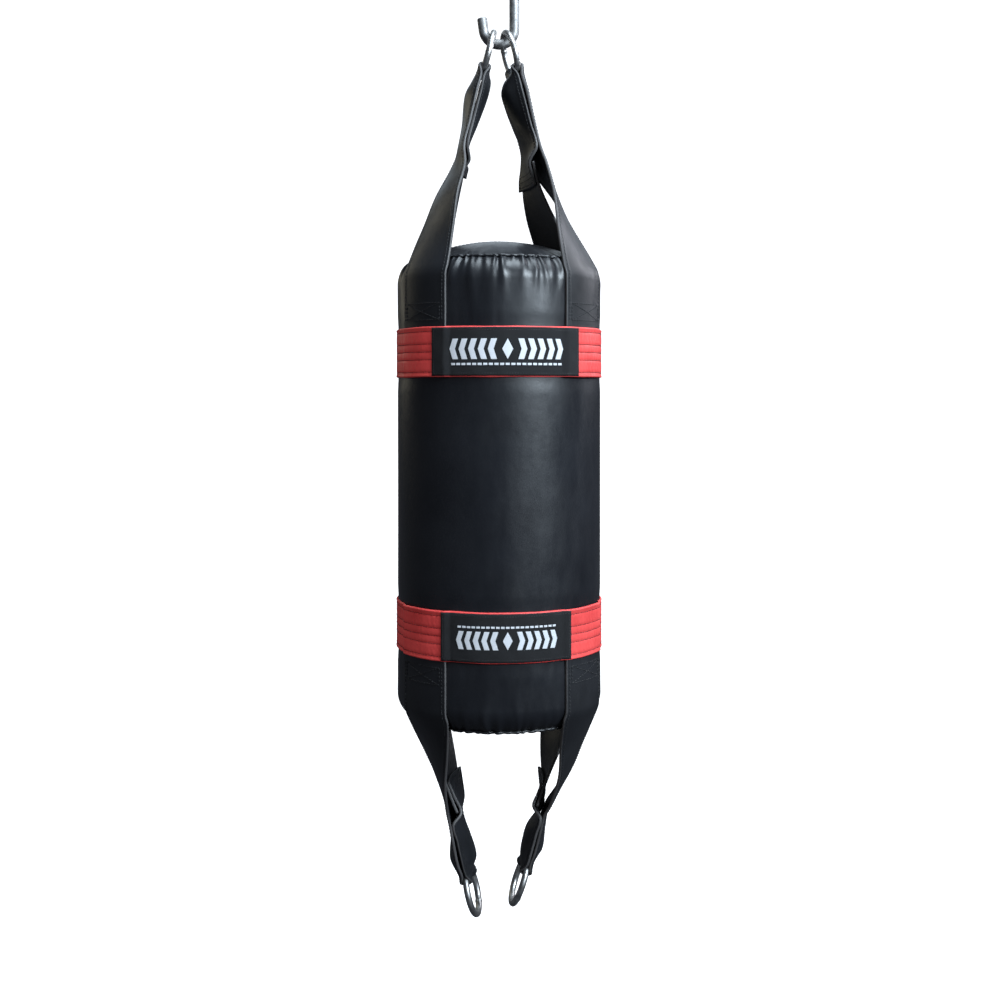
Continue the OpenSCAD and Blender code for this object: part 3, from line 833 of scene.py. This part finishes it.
def rear_stations(pair):
    return bag_run() + [free(rear_junction(pair), f, pair.rear[2]) for f in (0.35, 0.58, 0.8, 1)]


def dense_rows(stations, step=2.6):
    """Smooth rows through the stations, about a step apart."""
    st = np.array(stations)
    rows = []
    for i in range(len(st) - 1):
        p, a, b, q = st[max(0, i - 1)], st[i], st[i + 1], st[min(len(st) - 1, i + 2)]
        la, lb, lc = (np.linalg.norm((v - u)[:3]) for u, v in ((p, a), (a, b), (b, q)))
        m1, m2 = (b - p) * (lb / (la + lb)), (q - a) * (lb / (lb + lc))
        count = max(1, round(lb / step))
        for k in range(count):
            t = k / count
            rows.append(a * (2 * t ** 3 - 3 * t ** 2 + 1) + m1 * (t ** 3 - 2 * t ** 2 + t)
                        + b * (3 * t ** 2 - 2 * t ** 3) + m2 * (t ** 3 - t ** 2))
    return np.array(rows + [st[-1]])


def surface(rows, across):
    """Points on the strap's middle surface, for each row and each place across from -1 to 1."""
    turn, lean = np.radians(rows[:, 3]), np.radians(rows[:, 7])
    zero = np.zeros_like(turn)
    wide = np.stack([np.cos(turn), np.sin(turn), zero], -1)
    out = np.stack([np.sin(turn), -np.cos(turn), zero], -1)
    up = np.stack([-np.sin(lean), zero, np.cos(lean)], -1)
    v = np.asarray(across)[None, :, None]
    half, cup, lift = (rows[:, k][:, None, None] for k in (4, 5, 6))
    return (rows[:, None, :3] + wide[:, None] * half * v - out[:, None] * cup * v ** 2
            + up[:, None] * lift * v ** 2)


def normals_of(grid):
    along = np.gradient(grid, axis=0)
    over = np.gradient(grid, axis=1)
    normal = np.cross(over, along)
    return normal / np.maximum(np.linalg.norm(normal, axis=-1, keepdims=True), 1e-9)


def mirror_of(left, rear, down):
    return np.array([-1 if left else 1, -1 if rear else 1, -1 if down else 1])


# Hem and its stitches, from a strap's edge; the boxed cross, from its end under the band; the
# rows of stitches across its other end; and the length past which both faces show hem stitches
HEM = 7.0
HEM_STITCH = 4.6
CROSS_BOX = (64, 84)
CROSS_V = 0.78
END_ROWS = (5, 12, 19)
LONG_STRAP = 300


def strap_section():
    """(place across, thickness fraction) round a strap: flat faces, hemmed and rounded edges."""
    places = np.concatenate([[0, 0.15, 0.45, 0.9, 1.6, 3, 4.6, 5.6, HEM - 0.6, HEM, HEM + 0.8, HEM + 2],
                             np.linspace(HEM + 5, STRAP_HALF, 7)])
    face = []
    for d in places:
        round_edge = math.sqrt(max(0.0, 1 - (1 - min(d / 0.9, 1)) ** 2))
        hem = 0.14 * (1 - float(smooth_step((d - HEM + 0.7) / 1.2)))
        crease = 0.10 * math.exp(-((d - HEM_STITCH) / 0.8) ** 2)
        face.append((d / STRAP_HALF, round_edge * (1 + hem - crease)))
    outside = [(-1 + d, t) for d, t in face] + [(1 - d, t) for d, t in face[-2::-1]]
    inside = [(v, -t) for v, t in outside[::-1]][1:-1]
    return np.array(outside + inside)


def wrinkle(rows, across, seed):
    """Creases along the bunched part of a strap and soft buckles elsewhere, in millimetres."""
    draw = np.random.default_rng(seed)
    bunched = np.clip((STRAP_HALF - rows[:, 4]) / 14, 0, 1)[:, None]
    length = np.cumsum(np.concatenate([[0], np.linalg.norm(np.diff(rows[:, :3], axis=0), axis=1)]))[:, None]
    v = across[None, :]
    creases = np.zeros((len(rows), len(across)))
    for k in range(4):
        creases += draw.uniform(0.3, 0.8) * np.sin(v * draw.uniform(7, 15) + length / draw.uniform(25, 60)
                                                   + draw.uniform(0, 6.3))
    soft = np.zeros_like(creases)
    for k in range(3):
        soft += draw.uniform(0.15, 0.4) * np.sin(length / draw.uniform(9, 24) + v * draw.uniform(-2, 2)
                                                 + draw.uniform(0, 6.3))
    loose = smooth_step((length - 118) / 60)
    off_wire = 1 - smooth_step((rows[:, 6:7] - 2) / 4)
    return off_wire * (0.55 * creases * bunched + 0.5 * soft * loose * (1 - 0.6 * bunched))


def strap_mesh(name, stations, corner, seed):
    """A hemmed vinyl strap through the stations, in the corner that the mirror says, with a painted
    highlight on its rounded edges.
    """
    rows = dense_rows(stations)
    section = strap_section()
    places = np.unique(np.round(section[:, 0], 6))
    grid = surface(rows, places)
    normal = normals_of(grid)
    move = wrinkle(rows, places, seed)
    index = np.searchsorted(places, np.round(section[:, 0], 6))
    rings = grid[:, index] + normal[:, index] * (section[:, 1] * STRAP_T / 2 + move[:, index])[..., None]
    points, faces = loop_solid(rings * corner)
    if np.prod(corner) > 0:
        faces = [face[::-1] for face in faces]
    piece = make_piece(name, points, faces, STRAP)
    # Faces on the strap's rounded edges get the lighter vinyl, a painted edge highlight
    piece.data.materials.append(EDGE_HIGHLIGHT)
    count = len(section)
    rim = np.abs(section[:, 0]) > 1 - 1.0 / STRAP_HALF
    both = [bool(rim[j] and rim[(j + 1) % count]) for j in range(count)]
    edge_highlight_marks = [1 if both[k % count] else 0 for k in range((len(rows) - 1) * count)] + [1, 1]
    piece.data.polygons.foreach_set("material_index", edge_highlight_marks)
    return piece, rows, corner, seed


def strap_line(strap, u_low, u_high, v, face=1.0, samples=80):
    """A line on a strap between two places along it, from 0 at the bag to 1 at its free end."""
    piece, rows, corner, seed = strap
    steps = np.linalg.norm(np.diff(rows[:, :3], axis=0), axis=1)
    length = np.concatenate([[0], np.cumsum(steps)])
    v = np.broadcast_to(np.asarray(v, float), (samples,))
    u = np.linspace(u_low, u_high, samples)
    places = np.linspace(-1, 1, 41)
    grid = surface(rows, places)
    normal = normals_of(grid)
    grid = grid + normal * (face * (STRAP_T / 2 + 0.15) + wrinkle(rows, places, seed))[..., None]
    line, out = [], []
    for s, w in zip(u, v):
        i = np.interp(s, length, np.arange(len(rows)))
        j = (w + 1) / 2 * 40
        i0, j0 = min(int(i), len(rows) - 2), min(int(j), 39)
        fi, fj = i - i0, j - j0
        mix = ((1 - fi) * (1 - fj), (1 - fi) * fj, fi * (1 - fj), fi * fj)
        cells = ((i0, j0), (i0, j0 + 1), (i0 + 1, j0), (i0 + 1, j0 + 1))
        line.append(sum(m * grid[c] for m, c in zip(mix, cells)) * corner)
        out.append(sum(m * normal[c] for m, c in zip(mix, cells)) * face * corner)
    return np.array(line), np.array(out)


def strap_length(strap):
    return float(np.linalg.norm(np.diff(strap[1][:, :3], axis=0), axis=1).sum())


def strap_stitches(name, strap, rows_at):
    """Hem lines down both edges, a boxed cross where it is sewn down, and rows across its end."""
    total = strap_length(strap)
    hem_v = 1 - HEM_STITCH / STRAP_HALF
    low, high = CROSS_BOX
    runs = []
    for v in (-hem_v, hem_v):
        for face in (1, -1):
            if face == 1 or total > LONG_STRAP:
                runs.append(strap_line(strap, low, total - 3, v, face, 220))
    for u_low, u_high, v_low, v_high, samples in (
            (low, low + 0.01, -CROSS_V, CROSS_V, 30), (high, high + 0.01, -CROSS_V, CROSS_V, 30),
            (low, high, -CROSS_V, -CROSS_V, 30), (low, high, CROSS_V, CROSS_V, 30),
            (low, high, -CROSS_V, CROSS_V, 40), (low, high, CROSS_V, -CROSS_V, 40)):
        across = np.linspace(v_low, v_high, samples)
        runs.append(strap_line(strap, u_low, u_high, across, 1, samples))
    for place in rows_at:
        for face in (1, -1):
            runs.append(strap_line(strap, place, place + 0.01, np.linspace(-0.85, 0.85, 40), face, 40))
    return stitches(name, runs, BLACK_THREAD, 4.4, 3.3, 0.42)


def sewn_strap(name, pair, rear, corner, seed):
    """A strap and its stitches."""
    stations = rear_stations(pair) if rear else front_stations(pair)
    strap = strap_mesh(name, stations, corner, seed)
    ends = [] if rear else [strap_length(strap) - place for place in END_ROWS]
    thread = strap_stitches(name + "_stitches", strap, ends)
    return strap[0], thread


def make_sling(side_name, left, pair):
    """The two upper straps on one side: one through the ring and back, one from the rear."""
    for rear, word in ((False, "front"), (True, "rear")):
        name = f"sling_{side_name}_{word}"
        strap, thread = sewn_strap(name, pair, rear, mirror_of(left, rear, False), 100 + 2 * left + rear)
        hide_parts(f"strap_top_{side_name}_{word}")
        for piece in (strap, thread):
            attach(piece, "bag")


def make_tail(side_name, left, pair):
    """The two lower straps on one side, which bend between the bag and their loose length."""
    for rear, word in ((False, "front"), (True, "rear")):
        name = f"lower_strap_{side_name}_{word}"
        strap, thread = sewn_strap(name, pair, rear, mirror_of(left, rear, True), 120 + 2 * left + rear)
        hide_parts(f"strap_anchor_{side_name}_{word}", f"strap_tail_{side_name}_{word}")
        for piece in (strap, thread):
            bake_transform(piece)


# ---- hardware --------------------------------------------

def assign(node, material):
    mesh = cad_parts[node].data
    mesh.materials.clear()
    mesh.materials.append(material)


def weld_bead(name, node, body, lean, yaw, turn):
    """The raised weld where a ring's wire was joined."""
    low, high = box_mm(node)
    middle = (low + high) / 2 - [0, 0, BAG_Z]
    sides, rings = 20, 13
    cy, sy = math.cos(math.radians(yaw)), math.sin(math.radians(yaw))
    cl, sl = math.cos(math.radians(lean)), math.sin(math.radians(lean))
    points = np.zeros((rings, sides, 3))
    for i in range(rings):
        f = i / (rings - 1) * 2 - 1
        a = turn + f * 0.075
        girth = WIRE_R * 0.985 + 0.55 * (1 - f * f) ** 0.6 + 0.1 * math.sin(i * 2.1)
        for j in range(sides):
            b = 2 * math.pi * j / sides
            r = RING_R + girth * math.cos(b)
            flat = np.array([girth * math.sin(b), r * math.sin(a), r * math.cos(a)])
            x, y, z = flat[0] * cy - flat[1] * sy, flat[0] * sy + flat[1] * cy, flat[2]
            points[i, j] = middle + [x * cl + z * sl, y, -x * sl + z * cl]
    piece = make_piece(name, *loop_solid(points), RING_STEEL)
    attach(piece, body)


def make_hardware():
    assign("hanging_hook", HOOK_STEEL)
    for node in ("top_ring_left", "top_ring_right", "bottom_ring_left", "bottom_ring_right"):
        assign(node, RING_STEEL)
    for node in ("zip_teeth", "zip_slider", "zip_pull", "zip_stops"):
        assign(node, ZIP_METAL)
    assign("zip_tape", TAPE)
    for node in ("foam_liner", "foam_pad_top", "foam_pad_bottom", "fill_core"):
        assign(node, FOAM)
    weld_bead("weld_top_left", "top_ring_left", "top_rings", 15, 0, math.radians(-62))
    weld_bead("weld_top_right", "top_ring_right", "top_rings", -15, 6.5, math.radians(64))
    weld_bead("weld_bottom_left", "bottom_ring_left", "lower_ring_left", -15, -12, math.radians(140))
    weld_bead("weld_bottom_right", "bottom_ring_right", "lower_ring_right", 20, 0, math.radians(-120))


# ---- stage -----------------------------------------------

# The camera's height, its distance from the bag's axis and how far it stands to the left
EYE_Z = (BAG_Z + 122) * MM
CAMERA_AWAY = 1.73
CAMERA_TURN = math.radians(-4.5)


def make_camera():
    """A level camera at the height of the upper band; the frame reaches further below it."""
    data = bpy.data.cameras.new("camera")
    data.sensor_width = 36
    data.lens = 49.65
    data.shift_x = 0.001
    data.shift_y = -0.11
    camera = bpy.data.objects.new("camera", data)
    bpy.context.collection.objects.link(camera)
    camera.location = (CAMERA_AWAY * math.sin(CAMERA_TURN), -CAMERA_AWAY * math.cos(CAMERA_TURN), EYE_Z)
    aim = Vector((0.0, 0.0, EYE_Z)) - camera.location
    camera.rotation_euler = aim.to_track_quat("-Z", "Y").to_euler()
    bpy.context.scene.camera = camera


def make_stage():
    """A round pale room: its floor sweeps up into the wall, and the wall into the ceiling."""
    floor_z, ceiling_z, wall_r, bend, spokes = -1.75, 4.5, 4.6, 1.6, 72
    profile = []
    for z, turns in ((floor_z + bend, range(-12, 1)), (ceiling_z - bend, range(0, 13))):
        for k in turns:
            a = math.radians(7.5 * k)
            profile.append((wall_r - bend + bend * math.cos(a), z + bend * math.sin(a)))
    points = [(0, 0, floor_z), (0, 0, ceiling_z)]
    points += [(r * math.cos(2 * math.pi * k / spokes), r * math.sin(2 * math.pi * k / spokes), z)
               for r, z in profile for k in range(spokes)]
    faces = grid_faces(len(profile), spokes, closed=True, offset=2, flip=True)
    last = 2 + (len(profile) - 1) * spokes
    for k in range(spokes):
        m = (k + 1) % spokes
        faces += [[0, 2 + k, 2 + m], [1, last + m, last + k]]
    material, tree, shader = new_material("stage", (0.94, 0.94, 0.94), 0.9, spec=0.1)
    shader.inputs["Emission Color"].default_value = (1, 1, 1, 1)
    shader.inputs["Emission Strength"].default_value = 1.0
    floor = link_mesh("stage", points, faces, material)
    floor.visible_glossy = False
    floor.visible_diffuse = False
    floor.visible_shadow = False


def area_light(name, place, aim, size, power, colour=(1, 1, 1), sheen=True):
    """A soft box; without sheen it brightens surfaces but isn't mirrored in them."""
    data = bpy.data.lights.new(name, "AREA")
    data.shape = "RECTANGLE"
    data.size, data.size_y = size
    data.energy = power
    data.color = colour
    light = bpy.data.objects.new(name, data)
    bpy.context.collection.objects.link(light)
    light.location = place
    light.rotation_euler = (Vector(aim) - Vector(place)).to_track_quat("-Z", "Y").to_euler()
    light.visible_camera = False
    light.visible_glossy = sheen


def make_lights():
    middle = BAG_Z * MM
    upper = (0, 0, middle + 0.25)
    cool, warm = (0.78, 0.90, 1.0), (1.0, 0.94, 0.74)
    area_light("key", (1.6, -1.85, middle + 1.15), upper, (1.3, 0.9), 132, cool)
    area_light("top", (0.35, -0.55, 1.55), upper, (1.5, 1.3), 62, cool)
    area_light("behind", (0.2, 1.7, middle + 1.25), upper, (2.0, 0.9), 6.5, cool)
    area_light("left_edge", (-1.5, 1.5, middle + 0.8), (0, 0, middle), (0.5, 1.2), 3.4, warm)
    area_light("right_edge", (2.0, 0.9, middle + 1.25), upper, (0.7, 1.6), 28, (0.90, 0.92, 1.0))
    area_light("fill", (-2.0, -1.6, middle + 0.4), (0, 0, middle), (1.4, 1.6), 15, sheen=False)
    world = bpy.data.worlds.new("world")
    world.use_nodes = True
    sky = world.node_tree.nodes["Background"]
    sky.inputs["Color"].default_value = (0.74, 0.82, 1.0, 1)
    sky.inputs["Strength"].default_value = 0.065
    bpy.context.scene.world = world
    bpy.context.scene.view_settings.view_transform = "Standard"


# ---- the object ------------------------------------------

make_camera()
make_shell()
back_seam()
top_panel = make_dome("top_panel", 1, True, 23)
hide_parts("cap_top")
bottom_panel = make_dome("bottom_panel", -1, False, 24)
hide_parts("cap_bottom")
zip_stitches()
make_binding("top_binding", 1, "seam_binding_top")
make_binding("bottom_binding", -1, "seam_binding_bottom")
make_band("top_band", 1, "band_top")
make_band("bottom_band", -1, "band_bottom")
make_label("top_label", 1, "label_top", TOP_LABEL_HALF_W)
make_label("bottom_label", -1, "label_bottom", BOTTOM_LABEL_HALF_W)
label_mark("top_label_mark", 1, 1.0, False)
label_mark("bottom_label_mark", -1, 0.88, True)
make_sling("left", True, TOP_LEFT)
make_sling("right", False, TOP_RIGHT)
make_tail("left", True, BOTTOM_LEFT)
make_tail("right", False, BOTTOM_RIGHT)
make_hardware()
make_stage()
make_lights()
